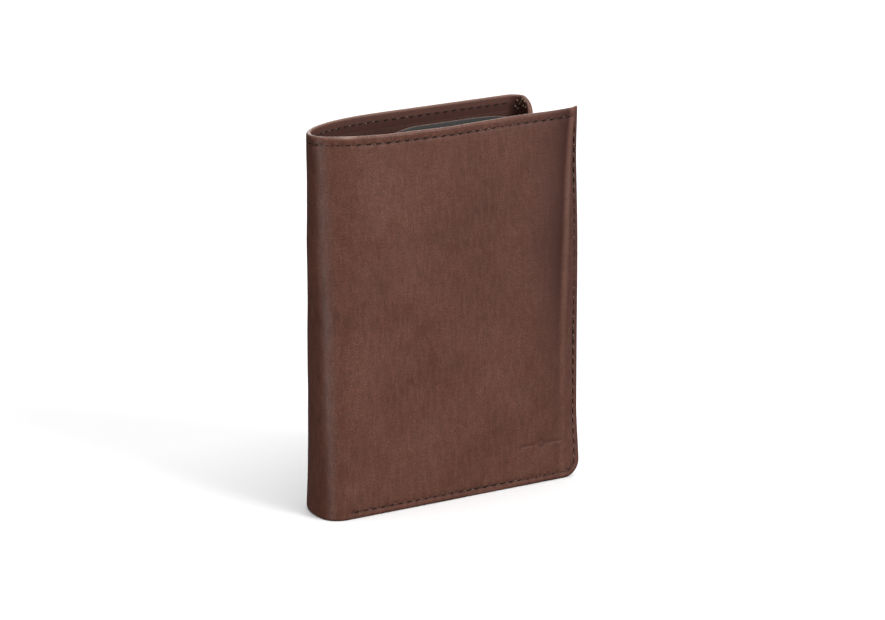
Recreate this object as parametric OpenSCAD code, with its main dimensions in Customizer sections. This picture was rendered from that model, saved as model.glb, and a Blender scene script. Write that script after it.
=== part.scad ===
// Upright trifold wallet standing ajar on its bottom edge.
// +Z up. The origin is the bottom centre. The spine is at -X, the fore edge at +X.
// The front cover faces -Y and the back cover faces +Y. Millimetres.

/* [Wallet] */
// Width from the spine to the fore edge of the front cover
wallet_w = 97.5; // [96:0.5:104]
// Depth from the front face to the back face
wallet_d = 32; // [30:0.5:36]
// Height of the covers
wallet_h = 125; // [120:1:135]
// Radius of the rounded lower corner at the fore edge
corner_r = 6; // [3:0.5:10]

/* [Leather and lining] */
// Thickness of the outer leather
leather_t = 1.2; // [1:0.1:1.4]
// Thickness of the fabric lining
lining_t = 0.4; // [0.3:0.1:0.5]
// Thickness of the leather facing strip under the rim
facing_t = 0.5; // [0.3:0.1:0.6]
// Height of the leather facing strip
facing_h = 12; // [6:1:20]
// Thickness of the inner wall of the note compartment
wall_t = 0.9; // [0.7:0.1:1]
// Thickness of the fabric on the back part of that wall
wall_lining_t = 0.3; // [0.2:0.1:0.3]

/* [Folds] */
// Outer radius of the fold between the spine and the front cover
front_r = 9; // [8:0.5:10]
// Outer radius of the fold between the spine and the back cover
back_r = 18; // [16:0.5:19]
// Outer radius of each half of the fold between the back cover and the flap
fold_r = 5; // [4.8:0.1:5.2]
// Gap between the two sides of a fold line
fold_gap = 0.4; // [0.3:0.05:0.5]

/* [Note compartment] */
// Gap for notes at the front cover
notes_front = 1.2; // [1:0.1:1.4]
// Gap for notes at the spine
notes_spine = 4.5; // [4.3:0.1:4.8]
// Gap for notes at the back cover
notes_back = 2.4; // [2:0.1:2.6]
// Distance of the wall's top edge below the rim
wall_drop = 4; // [2:0.5:8]

/* [Card slots] */
// Number of card slots in the front cover
slot_count = 4; // [2:1:4]
// Thickness of one card slot
slot_t = 0.65; // [0.5:0.05:0.65]
// Clear width between the side seams of the card slots
slot_w = 86.6; // [86.2:0.1:86.8]
// Height of one card slot from its mouth to its foot
slot_h = 58; // [56:1:62]
// Step between the mouths of neighbouring slots
slot_step = 14; // [10:1:15]

/* [Document pockets] */
// Number of pockets in the back cover
pocket_count = 3; // [1:1:3]
// Thickness of one pocket
pocket_t = 0.7; // [0.5:0.05:0.75]
// Step between the mouths of neighbouring pockets
pocket_step = 16; // [10:1:20]

/* [Flap] */
// Length of the flap from the fold to its tip
flap_l = 66; // [60:1:66]
// Distance of the flap's top and bottom edges inside the covers' edges
flap_inset = 6; // [4:1:8]
// Width of the leather frame round the window
frame_w = 6; // [5:0.5:8]
// Thickness of the window frame
frame_t = 0.9; // [0.7:0.1:0.9]
// Room for a card behind the window
card_gap = 0.6; // [0.5:0.1:0.7]
// Thickness of the clear window
window_t = 0.3; // [0.2:0.1:0.3]

/* [Stitching] */
// Distance from one stitch to the next
stitch_pitch = 3.4; // [3:0.1:4]
// Length of one stitch
stitch_l = 2.2; // [1.8:0.1:2.6]
// Radius of the thread
thread_r = 0.3; // [0.2:0.05:0.35]
// Distance of the top seam below the rim
seam_top = 2.9; // [2:0.1:4]
// Distance of the side and bottom seams from the edge
seam_edge = 2.3; // [2:0.1:3]

/* [Hidden] */
$fn = 96;

leather_colour = [0.36, 0.22, 0.18];
inner_leather_colour = [0.30, 0.19, 0.15];
lining_colour = [0.20, 0.19, 0.19];
thread_colour = [0.22, 0.13, 0.10];

// Outer faces
x_spine = -wallet_w / 2;
x_fore = wallet_w / 2;
y_front = -wallet_d / 2;
y_back = wallet_d / 2;

// Centres of the fold arcs
front_c = [x_spine + front_r, y_front + front_r];
back_c = [x_spine + back_r, y_back - back_r];
edge_c = [x_fore - 8.55, y_back - fold_r];
fold_flat = 2.4;
flap_c = [edge_c.x, edge_c.y - fold_flat];

// Point at distance d from c in direction a
function ray(c, a, d) = c + d * [cos(a), sin(a)];

// Fold lines. Each stands on the middle of its arc, this many radii out, which keeps the
// leather's length when the arc opens flat. The wide back arc opens along two lines.
quarter_reach = PI / 4 / sin(45);
eighth_reach = PI / 8 / sin(22.5);
bend_a = 112.5;
spine_a = 157.5;
cover_axis = ray(front_c, 225, front_r * quarter_reach);
spine_axis = ray(back_c, spine_a, back_r * eighth_reach);
bend_axis = ray(back_c, bend_a, back_r * eighth_reach);
edge_axis = ray(edge_c, 45, fold_r * quarter_reach);
flap_axis = ray(flap_c, -45, fold_r * quarter_reach);

// Depths below the outer face
shell_t = leather_t + lining_t;
y_wall_front = y_front + shell_t + notes_front;
x_wall_spine = x_spine + shell_t + notes_spine;
y_wall_back = y_back - shell_t - notes_back;
wall_front_r = 3;
wall_back_r = 12;
wall_foot = 3;
wall_top = wallet_h - wall_drop;
y_slots = y_wall_front + wall_t;
slots_right = x_fore - seam_edge - thread_r;
slots_left = slots_right - slot_w;
slots_top = 112;
slots_foot = 3;
y_pockets = y_wall_back - wall_lining_t - wall_t;
pocket_x = [-29, 38];
pockets_top = 114;
pockets_foot = 3;

// Flap
y_flap = flap_c.y - fold_r;
flap_tip = edge_c.x + fold_r - flap_l;
flap_z = [flap_inset, wallet_h - flap_inset];
fold_z = [flap_inset / 2, wallet_h - flap_inset / 2];
frame_gap = card_gap + window_t;
frame_x = [flap_tip, edge_c.x - 1];
eps = 0.01;

// ---------- outlines in plan ----------

// Quarter of a ring: outer radius r, thickness t, from angle a to a + 90
module quarter(c, r, t, a)
    translate(c) rotate(a) intersection() {
        difference() {
            circle(r);
            circle(r - t);
        }
        square(r + 1);
    }

// Rectangle between two corners
module rect(x0, y0, x1, y1) translate([x0, y0]) square([x1 - x0, y1 - y0]);

// Plan of one layer of the covers, spine, fold and flap, i below the outer face and t thick
module layer_plan(i, t) {
    rect(front_c.x, y_front + i, x_fore, y_front + i + t);
    quarter(front_c, front_r - i, t, 180);
    rect(x_spine + i, front_c.y, x_spine + i + t, back_c.y);
    quarter(back_c, back_r - i, t, 90);
    rect(back_c.x, y_back - i - t, edge_c.x, y_back - i);
    quarter(edge_c, fold_r - i, t, 0);
    rect(edge_c.x + fold_r - i - t, flap_c.y, edge_c.x + fold_r - i, edge_c.y);
    quarter(flap_c, fold_r - i, t, -90);
    rect(flap_tip, y_flap + i, flap_c.x, y_flap + i + t);
}

// Plan of the inner wall of the note compartment, i inside its outer face and t thick
module wall_plan(i, t) {
    front = [x_wall_spine + wall_front_r, y_wall_front + wall_front_r];
    back = [x_wall_spine + wall_back_r, y_wall_back - wall_back_r];
    rect(front.x, y_wall_front + i, slots_right, y_wall_front + i + t);
    quarter(front, wall_front_r - i, t, 180);
    rect(x_wall_spine + i, front.y, x_wall_spine + i + t, back.y);
    quarter(back, wall_back_r - i, t, 90);
    rect(back.x, y_wall_back - i - t, edge_c.x, y_wall_back - i);
}

// Thin cut along a fold line, running inwards from outside the leather
module fold_cut(p, a, inside)
    translate(p) rotate(a) translate([-inside, -fold_gap / 2]) square([inside + 8, fold_gap]);

// Regions of the six rigid bodies, parted along the fold lines
beyond = 30;
out_c = ray(front_c, 225, 18);
in_c = front_c + [4, 4];
out_s = ray(back_c, spine_a, beyond);
out_b = ray(back_c, bend_a, beyond);
out_e = ray(edge_c, 45, 16);
out_f = ray(flap_c, -45, 16);

module cover_line() fold_cut(cover_axis, 225, 20);
module spine_line() fold_cut(spine_axis, spine_a, 13);
module bend_line() fold_cut(bend_axis, bend_a, 13);
module edge_line() fold_cut(edge_axis, 45, 6);
module flap_line() fold_cut(flap_axis, -45, 6);

module front_zone() difference() {
    polygon([out_c, in_c, [x_fore + 1, in_c.y], [x_fore + 1, out_c.y]]);
    cover_line();
}
module spine_zone() difference() {
    polygon([out_c, in_c, back_c, out_s]);
    cover_line();
    spine_line();
}
module bend_zone() difference() {
    polygon([back_c, out_s, ray(back_c, 135, beyond + 4), out_b]);
    spine_line();
    bend_line();
}
module back_zone() difference() {
    polygon([out_b, ray(back_c, bend_a, 6), [flap_tip - 2, flap_c.y], [edge_c.x - 1, flap_c.y], edge_c, out_e]);
    bend_line();
    edge_line();
}
module fold_zone() difference() {
    polygon([edge_c, out_e, out_f, flap_c]);
    edge_line();
    flap_line();
}
module flap_zone() difference() {
    polygon([flap_c, out_f, [flap_tip - 1, out_f.y], [flap_tip - 1, flap_c.y]]);
    flap_line();
}

// Raise a plan from z0 to z1
module raise(z0, z1) translate([0, 0, z0]) linear_extrude(z1 - z0) children();

// Everything outside the rounded lower corner of the front cover
module lower_corner_cut()
    translate([x_fore - corner_r, y_front - 1, corner_r]) rotate([-90, 0, 0])
        linear_extrude(10) difference() {
            rect(0, 0, corner_r + 1, corner_r + 1);
            circle(corner_r);
        }

// ---------- leather, lining and facing ----------

module outer_front() color(leather_colour) difference() {
    raise(0, wallet_h) intersection() {
        layer_plan(0, leather_t);
        front_zone();
    }
    lower_corner_cut();
}
module outer_spine() color(leather_colour)
    raise(0, wallet_h) intersection() {
        layer_plan(0, leather_t);
        spine_zone();
    }
module outer_bend() color(leather_colour)
    raise(0, wallet_h) intersection() {
        layer_plan(0, leather_t);
        bend_zone();
    }
module outer_back() color(leather_colour)
    raise(0, wallet_h) intersection() {
        layer_plan(0, leather_t);
        back_zone();
    }
module outer_fold() color(leather_colour)
    raise(fold_z[0], fold_z[1]) intersection() {
        layer_plan(0, leather_t);
        fold_zone();
    }
module outer_flap() color(leather_colour)
    raise(flap_z[0], flap_z[1]) intersection() {
        layer_plan(0, leather_t);
        flap_zone();
    }

// Lining of the shell, drawn in a little from the rim and the foot
lining_z = [1, wallet_h - 1];
module lining_front() color(lining_colour) difference() {
    raise(lining_z[0], lining_z[1]) intersection() {
        layer_plan(leather_t, lining_t);
        front_zone();
        rect(x_spine, y_front, x_fore - 1, y_back);
    }
    translate([-1, 0, 1]) lower_corner_cut();
}
module lining_spine() color(lining_colour)
    raise(lining_z[0], lining_z[1]) intersection() {
        layer_plan(leather_t, lining_t);
        spine_zone();
    }
module lining_bend() color(lining_colour)
    raise(lining_z[0], lining_z[1]) intersection() {
        layer_plan(leather_t, lining_t);
        bend_zone();
    }
module lining_back() color(lining_colour)
    raise(lining_z[0], lining_z[1]) intersection() {
        layer_plan(leather_t, lining_t);
        back_zone();
    }
module lining_fold() color(lining_colour)
    raise(fold_z[0] + 1, fold_z[1] - 1) intersection() {
        layer_plan(leather_t, lining_t);
        fold_zone();
    }
module lining_flap() color(lining_colour)
    raise(flap_z[0] + 1, flap_z[1] - 1) intersection() {
        layer_plan(leather_t, lining_t);
        flap_zone();
        rect(flap_tip + 1, y_flap, x_fore, flap_c.y);
    }

// Leather facing strip sewn inside the rim of the note compartment
facing_z = [lining_z[1] - facing_h, lining_z[1]];
module facing_front() color(inner_leather_colour)
    raise(facing_z[0], facing_z[1]) intersection() {
        layer_plan(shell_t, facing_t);
        front_zone();
        rect(x_spine, y_front, x_fore - 2, y_back);
    }
module facing_spine() color(inner_leather_colour)
    raise(facing_z[0], facing_z[1]) intersection() {
        layer_plan(shell_t, facing_t);
        spine_zone();
    }
module facing_bend() color(inner_leather_colour)
    raise(facing_z[0], facing_z[1]) intersection() {
        layer_plan(shell_t, facing_t);
        bend_zone();
    }
module facing_back() color(inner_leather_colour)
    raise(facing_z[0], facing_z[1]) intersection() {
        layer_plan(shell_t, facing_t);
        back_zone();
        rect(x_spine, flap_c.y, edge_c.x, y_back);
    }

// ---------- inner wall of the note compartment ----------

module note_wall_front() color(inner_leather_colour)
    raise(wall_foot, wall_top) intersection() {
        wall_plan(0, wall_t);
        front_zone();
    }
module note_wall_spine() color(inner_leather_colour)
    raise(wall_foot, wall_top) intersection() {
        wall_plan(0, wall_t);
        spine_zone();
    }
module note_wall_bend() color(inner_leather_colour)
    raise(wall_foot, wall_top) intersection() {
        wall_plan(0, wall_t);
        bend_zone();
    }
module note_wall_back() color(inner_leather_colour)
    raise(wall_foot, wall_top) intersection() {
        wall_plan(wall_lining_t, wall_t);
        back_zone();
    }
module wall_lining_back() color(lining_colour)
    raise(wall_foot, wall_top) intersection() {
        wall_plan(0, wall_lining_t);
        back_zone();
    }

// ---------- pockets ----------

// Card slot k, counted from the deepest; the last one reaches down to the foot
module card_slot(k) color(inner_leather_colour) {
    top = slots_top - (k - 1) * slot_step;
    foot = k == slot_count ? slots_foot : top - slot_h;
    raise(foot, top) rect(slots_left, y_slots + (k - 1) * slot_t, slots_right, y_slots + k * slot_t);
}

// Document pocket k, counted from the deepest, open at the top
module pocket(k) color(inner_leather_colour) {
    top = pockets_top - (k - 1) * pocket_step;
    raise(pockets_foot, top)
        rect(pocket_x[0], y_pockets - k * pocket_t, pocket_x[1], y_pockets - (k - 1) * pocket_t);
}

// ---------- window on the flap ----------

y_frame = y_flap + shell_t + frame_gap;
frame_z = [flap_z[0] + 2, flap_z[1] - 2];
module window_frame() color(inner_leather_colour) {
    x0 = frame_x[0] + 2;
    x1 = frame_x[1];
    difference() {
        raise(frame_z[0], frame_z[1]) rect(x0, y_flap + shell_t, x1, y_frame + frame_t);
        // Card room, open at the top
        raise(frame_z[0] + 3, frame_z[1] + 1) rect(x0 + 3, y_flap, x1 - 3, y_frame);
        // Window
        raise(frame_z[0] + frame_w, frame_z[1] - frame_w)
            rect(x0 + frame_w, y_flap, x1 - frame_w, y_frame + frame_t + 1);
    }
}
module clear_window() color([0.85, 0.87, 0.88, 0.4])
    raise(frame_z[0] + 3, frame_z[1] - 1)
        rect(frame_x[0] + 5, y_frame - window_t, frame_x[1] - 3, y_frame);

// ---------- stitches ----------

// Row of stitches along a straight seam: start, direction, length
module stitch_row(start, dir, length) {
    count = floor((length + stitch_pitch - stitch_l) / stitch_pitch);
    spare = (length - (count - 1) * stitch_pitch - stitch_l) / 2;
    turn = [0, acos(dir.z), atan2(dir.y, dir.x)];
    for (k = [0 : count - 1])
        translate(start + dir * (spare + k * stitch_pitch)) rotate(turn)
            cylinder(r = thread_r, h = stitch_l, $fn = 16);
}

// Row of short stitches round an arc seen in plan
module stitch_arc(c, r, a0, a1, z) {
    count = floor(abs(a1 - a0) * PI / 180 * r / stitch_pitch);
    for (k = [0 : count - 1]) {
        a = a0 + (a1 - a0) * (k + 0.5) / count;
        translate([c.x + r * cos(a), c.y + r * sin(a), z]) rotate([0, 90, a + 90])
            translate([0, 0, -stitch_l / 2]) cylinder(r = thread_r, h = stitch_l, $fn = 16);
    }
}

z_seam = wallet_h - seam_top;
sunk = thread_r + eps;
bottom_seam_start = 14;

module stitches_front_top() color(thread_colour)
    stitch_row([front_c.x, y_front + sunk, z_seam], [1, 0, 0], x_fore - seam_edge - front_c.x);
module stitches_front_side() color(thread_colour)
    stitch_row([x_fore - seam_edge, y_front + sunk, corner_r], [0, 0, 1], z_seam - 2 - corner_r);
module stitches_front_bottom() color(thread_colour)
    stitch_row([x_spine + bottom_seam_start, y_front + sunk, seam_edge], [1, 0, 0],
               wallet_w - bottom_seam_start - corner_r);
module stitches_spine_top() color(thread_colour) {
    stitch_arc(front_c, front_r - sunk, 218, 184, z_seam);
    stitch_arc(back_c, back_r - sunk, 178, spine_a + 3, z_seam);
}
module stitches_bend_top() color(thread_colour)
    stitch_arc(back_c, back_r - sunk, spine_a - 2, bend_a + 2, z_seam);
module stitches_back_top() color(thread_colour) {
    stitch_arc(back_c, back_r - sunk, bend_a - 3, 92, z_seam);
    stitch_row([back_c.x, y_back - sunk, z_seam], [1, 0, 0], edge_c.x - back_c.x);
}
module stitches_back_bottom() color(thread_colour)
    stitch_row([back_c.x, y_back - sunk, seam_edge], [1, 0, 0], edge_c.x - back_c.x);

// Seams that close the sides and the feet of the card slots
module stitches_card_slots() color(thread_colour) {
    y_face = y_slots + slot_count * slot_t - sunk;
    last_top = slots_top - (slot_count - 1) * slot_step;
    for (x = [slots_left + 1.2, slots_right - 1.2])
        stitch_row([x, y_face, slots_foot + 1], [0, 0, 1], last_top - slots_foot - 2);
    stitch_row([slots_left + 3, y_face, slots_foot + 1.5], [1, 0, 0], slot_w - 6);
}

// Seams that close the sides and the feet of the document pockets
module stitches_pockets() color(thread_colour) {
    y_face = y_pockets - pocket_count * pocket_t + sunk;
    last_top = pockets_top - (pocket_count - 1) * pocket_step;
    for (x = [pocket_x[0] + 1.2, pocket_x[1] - 1.2])
        stitch_row([x, y_face, pockets_foot + 1], [0, 0, 1], last_top - pockets_foot - 2);
    stitch_row([pocket_x[0] + 3, y_face, pockets_foot + 1.5], [1, 0, 0], pocket_x[1] - pocket_x[0] - 6);
}

// Seam round the free edges of the flap, in its outer leather
module stitches_flap() color(thread_colour) {
    for (z = [flap_z[0] + seam_edge, flap_z[1] - seam_edge])
        stitch_row([flap_tip + seam_edge + 1, y_flap + sunk, z], [1, 0, 0], flap_c.x - flap_tip - seam_edge - 1);
    stitch_row([flap_tip + seam_edge, y_flap + sunk, flap_z[0] + 4], [0, 0, 1], flap_z[1] - flap_z[0] - 8);
}

outer_front();
lining_front();
facing_front();
note_wall_front();
card_slot(1);  // card_slot_1
card_slot(2);  // card_slot_2
card_slot(3);  // card_slot_3
card_slot(4);  // card_slot_4
stitches_front_top();
stitches_front_side();
stitches_front_bottom();
stitches_card_slots();
outer_spine();
lining_spine();
facing_spine();
note_wall_spine();
stitches_spine_top();
outer_bend();
lining_bend();
facing_bend();
note_wall_bend();
stitches_bend_top();
outer_back();
lining_back();
facing_back();
note_wall_back();
wall_lining_back();
pocket(1);  // pocket_1
pocket(2);  // pocket_2
pocket(3);  // pocket_3
stitches_back_top();
stitches_back_bottom();
stitches_pockets();
outer_fold();
lining_fold();
outer_flap();
lining_flap();
window_frame();
clear_window();
stitches_flap();
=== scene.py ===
"""Looks of the upright trifold wallet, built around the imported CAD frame.

Lengths are in millimetres until a mesh is made. On a layer of the wallet, s is the arc length from the
cover's fore edge and z the height. Cameras and lights are placed in metres."""

import math

import bpy
import numpy as np
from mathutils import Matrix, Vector


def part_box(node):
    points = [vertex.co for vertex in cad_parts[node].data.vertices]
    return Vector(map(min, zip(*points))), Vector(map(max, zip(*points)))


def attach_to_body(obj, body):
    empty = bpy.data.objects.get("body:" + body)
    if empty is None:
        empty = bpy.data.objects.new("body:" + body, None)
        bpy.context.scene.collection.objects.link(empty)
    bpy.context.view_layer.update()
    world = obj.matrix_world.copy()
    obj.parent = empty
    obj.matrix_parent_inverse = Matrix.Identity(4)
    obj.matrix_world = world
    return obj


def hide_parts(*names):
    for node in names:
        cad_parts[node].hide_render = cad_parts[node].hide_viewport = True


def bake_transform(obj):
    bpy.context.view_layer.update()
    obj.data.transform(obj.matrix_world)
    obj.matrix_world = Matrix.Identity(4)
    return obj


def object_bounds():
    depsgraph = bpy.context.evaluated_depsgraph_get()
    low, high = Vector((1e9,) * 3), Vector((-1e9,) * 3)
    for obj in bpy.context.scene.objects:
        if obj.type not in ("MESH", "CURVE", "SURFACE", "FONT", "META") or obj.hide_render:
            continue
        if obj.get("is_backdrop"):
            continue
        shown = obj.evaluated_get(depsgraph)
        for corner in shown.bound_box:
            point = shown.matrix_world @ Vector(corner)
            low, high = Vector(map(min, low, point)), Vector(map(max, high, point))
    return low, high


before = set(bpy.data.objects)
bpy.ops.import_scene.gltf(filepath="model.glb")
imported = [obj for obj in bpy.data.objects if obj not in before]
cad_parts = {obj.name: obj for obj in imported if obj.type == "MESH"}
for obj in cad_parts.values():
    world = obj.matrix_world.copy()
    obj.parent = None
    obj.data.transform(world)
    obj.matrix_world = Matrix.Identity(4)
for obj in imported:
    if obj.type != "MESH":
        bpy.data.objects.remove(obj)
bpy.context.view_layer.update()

MM = 0.001
TAU = 2 * math.pi


def corners(node):
    """Lowest and highest corner of a CAD node, in millimetres."""
    low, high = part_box(node)
    return np.array(low) / MM, np.array(high) / MM


# ---------- sizes ----------

FRONT_LOW, FRONT_HIGH = corners("outer_front")
BACK_HIGH = corners("outer_back")[1]
FOLD_HIGH = corners("outer_fold")[1]
FLAP_LOW, FLAP_HIGH = corners("outer_flap")
SLOT_LOW, SLOT_HIGH = corners("card_slot_4")
HEIGHT = FRONT_HIGH[2]
X_FORE = FRONT_HIGH[0]
Y_FRONT = FRONT_LOW[1]
Y_BACK = BACK_HIGH[1]
X_SPINE = corners("outer_spine")[0][0]
X_FOLD = FOLD_HIGH[0]
FOLD_R = 5.0
FORE_EXTRA = 1.7
FOLD_BULGE = 1.9
Y_FLAP = FLAP_LOW[1]
FLAP_TIP = FLAP_LOW[0]
FLAP_FOOT, FLAP_TOP = FLAP_LOW[2], FLAP_HIGH[2]
FLAP_STEP = HEIGHT - FLAP_TOP
CORNER_R = 6.0
LEATHER = 1.2
TURNED = 1.7
TURN_WIDTH = 5.5
INSIDE_SHADE = 0.62
LINING = 0.4
FACING = 0.47
PITCH = 3.4
STITCH = 2.2
SEAM_TOP = HEIGHT - 2.65
SEAM_EDGE = 2.3
SEAM_BOTTOM = 2.4
SEAM_SPINE_GAP = 6.4
UNDER_LEATHER = LEATHER + 0.02
THREAD_SUNK = 0.16
LOOP_SUNK = 0.12

# Where the pieces part: on the spine, on its bend, on the back and on the fold. Each cut lies
# where the leather follows one body alone.
CUT_SPINE = Y_FRONT + 11.5
CUT_BEND = -32.75
CUT_BACK = 4.0
CUT_FOLD = Y_FLAP + 6.2


def mix(a, b, t):
    return a + (b - a) * t


def ease(t):
    t = np.clip(t, 0, 1)
    return t * t * (3 - 2 * t)


def on_path(s, run, p):
    """Points at arc lengths s of the path p, whose own arc lengths are run."""
    return np.stack([np.interp(s, run, p[:, 0]), np.interp(s, run, p[:, 1])], -1)


# ---------- the outline in plan, at each height ----------

class Outline:
    """A layer's path in plan from the fore edge round the spine, and on to the back or the flap.

    Foot and top hold the shape at the two ends of the height: the spine's nose, then the front bend's
    length and squareness, then the back bend's length. In between, the shape changes evenly."""

    def __init__(self, foot, top, y_front, y_back, x_start, with_flap, wave=0.0):
        self.foot, self.top = foot, top
        self.y_front, self.y_back = y_front, y_back
        self.x_start, self.with_flap, self.wave = x_start, with_flap, wave
        self.bulge = FOLD_BULGE if with_flap else 0.0
        self.spine_cut = CUT_SPINE

    def path(self, z):
        """Dense points of the path at height z."""
        t = z / HEIGHT
        nose_x, nose_y, front_a, front_p, back_a = [mix(a, b, t) for a, b in zip(self.foot, self.top)]
        yf, yb = self.y_front(z), self.y_back(z)
        quarter = np.linspace(0, math.pi / 2, 160)
        sine, cosine = np.sin(quarter), np.cos(quarter)
        x = np.linspace(self.x_start, nose_x + front_a, 240)[:-1]
        parts = [np.c_[x, np.full(len(x), yf)]]
        power = 2 / front_p
        bend = np.c_[nose_x + front_a * (1 - sine ** power), nose_y - (nose_y - yf) * cosine ** power]
        parts.append(bend)
        parts.append(np.c_[nose_x + back_a * (1 - cosine), nose_y + (yb - nose_y) * sine][1:])
        edge_x = X_FOLD + self.bulge - FOLD_R
        x = np.linspace(nose_x + back_a, edge_x, 160)[1:]
        parts.append(np.c_[x, np.full(len(x), yb)])
        if self.with_flap:
            parts.append(np.c_[edge_x + FOLD_R * sine, yb - FOLD_R * (1 - cosine)][1:])
            y = np.linspace(yb - FOLD_R, Y_FLAP + FOLD_R, 12)[1:]
            parts.append(np.c_[np.full(len(y), X_FOLD + self.bulge), y])
            parts.append(np.c_[edge_x + FOLD_R * cosine, Y_FLAP + FOLD_R * (1 - sine)][1:])
            x = np.linspace(edge_x, FLAP_TIP, 160)[1:]
            parts.append(np.c_[x, np.full(len(x), Y_FLAP)])
        p = np.vstack(parts)
        p[:, 1] += self.sway(p[:, 0], p[:, 1], t)
        return p

    def sway(self, x, y, t):
        """The front rim isn't straight: it stands out in the middle and in again towards the fore edge."""
        out = -1.2 * np.exp(-((x + 2.5) / 12) ** 2) + 0.7 * np.exp(-((x - 27) / 9) ** 2)
        front = ease((Y_FRONT + 9 - y) / 4)
        return self.wave * out * front * max(t, 0) ** 1.6

    def row(self, z):
        """Path, arc length and the arc lengths of the two ends and the cuts between, at height z."""
        p = self.path(z)
        s = np.r_[0, np.cumsum(np.hypot(*np.diff(p, axis=0).T))]
        last = len(s) - 1
        nose = int(np.argmin(p[:, 0]))
        before_nose = int(np.argmax(p[:, 0] < self.foot[0] + 10))
        on_spine = crossing(s, p[:, 1] - self.spine_cut, before_nose)
        on_bend = crossing(s, p[:, 0] + p[:, 1] - CUT_BEND, nose)
        cuts = [0.0, on_spine, on_bend]
        if self.with_flap:
            cuts.append(crossing(s, p[:, 0] - CUT_BACK, nose))
            fold = int(np.argmax(p[:, 0] * (np.arange(len(s)) > nose)))
            cuts.append(crossing(s, CUT_FOLD - p[:, 1], fold - 40))
        cuts.append(s[last])
        return p, s, cuts


def crossing(s, value, start):
    """Arc length where value first rises through zero, from index start on."""
    rising = np.nonzero((value[start - 1:-1] < 0) & (value[start:] >= 0))[0]
    i = start + int(rising[0])
    a, b = value[i - 1], value[i]
    return s[i - 1] + (s[i] - s[i - 1]) * (-a / (b - a))


class Surface:
    """An outline followed over many heights, so that a point is found from arc length and height."""

    def __init__(self, outline, heights):
        self.rows = [outline.row(z) for z in heights]
        self.heights = np.array(heights, float)

    def cuts(self, i):
        return self.rows[i][2]

    def at(self, i, s):
        """Points and outward normals in plan at arc lengths s on row i."""
        p, run, _ = self.rows[i]
        step = 0.35
        t = on_path(s + step, run, p) - on_path(s - step, run, p)
        t /= np.linalg.norm(t, axis=1)[:, None]
        return on_path(s, run, p), np.c_[-t[:, 1], t[:, 0]]


def constant(value):
    return lambda z: value


SHELL = Outline(
    foot=(X_SPINE + 0.2, Y_FRONT + 7.0, 6.8, 2.3, 24.0),
    top=(X_SPINE + 1.4, Y_FRONT + 12.6, 27.0, 1.7, 38.0),
    y_front=constant(Y_FRONT),
    y_back=constant(Y_BACK),
    x_start=X_FORE + FORE_EXTRA,
    with_flap=True,
    wave=1.0,
)


# ---------- meshes ----------

def spaced(length, step, start=True, end=True):
    """Positions from 0 to length, about step apart, closer at a rounded edge."""
    fine = np.array([0, 0.05, 0.17, 0.34, 0.56, 0.8, 1.1])
    low = fine if start else np.array([0.0])
    high = length - fine[::-1] if end else np.array([length])
    n = max(2, int(round((high[0] - low[-1]) / step)))
    return np.r_[low[:-1], np.linspace(low[-1], high[0], n + 1), high[1:]]


def closed_sheet(name, outer, inner, uv, rounded, marks=None):
    """Mesh of a thin closed sheet from two grids of points. rounded says for its four sides, start, end,
    foot and top, whether the two faces meet there in a round edge or end in a flat cut."""
    nu, nv = outer.shape[:2]
    index_out = np.arange(nu * nv).reshape(nu, nv)
    index_in = index_out + nu * nv
    sides = [(0, slice(None)), (-1, slice(None)), (slice(None), 0), (slice(None), -1)]
    for side, is_round in zip(sides, rounded):
        if is_round:
            index_in[side] = index_out[side]
    points = np.concatenate([outer.reshape(-1, 3), inner.reshape(-1, 3)]) * MM
    both_uv = np.concatenate([uv.reshape(-1, 2), uv.reshape(-1, 2)])

    def quads(idx):
        return np.stack([idx[:-1, :-1], idx[1:, :-1], idx[1:, 1:], idx[:-1, 1:]], -1).reshape(-1, 4)

    faces = [quads(index_out)[:, ::-1], quads(index_in)]
    turned = [True, False, False, True]
    for side, is_round, flip in zip(sides, rounded, turned):
        if not is_round:
            a, b = index_out[side], index_in[side]
            strip = np.stack([a[:-1], a[1:], b[1:], b[:-1]], -1)
            faces.append(strip[:, ::-1] if flip else strip)
    cut_points = np.zeros(len(points), bool)
    for side, is_round in zip(sides, rounded):
        if not is_round:
            cut_points[index_out[side]] = True
            cut_points[index_in[side]] = True
    both_marks = {k: np.concatenate([a.ravel(), b.ravel()]) for k, (a, b) in (marks or {}).items()}
    return mesh_object(name, points, np.vstack(faces), both_uv, cut_points, both_marks)


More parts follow.
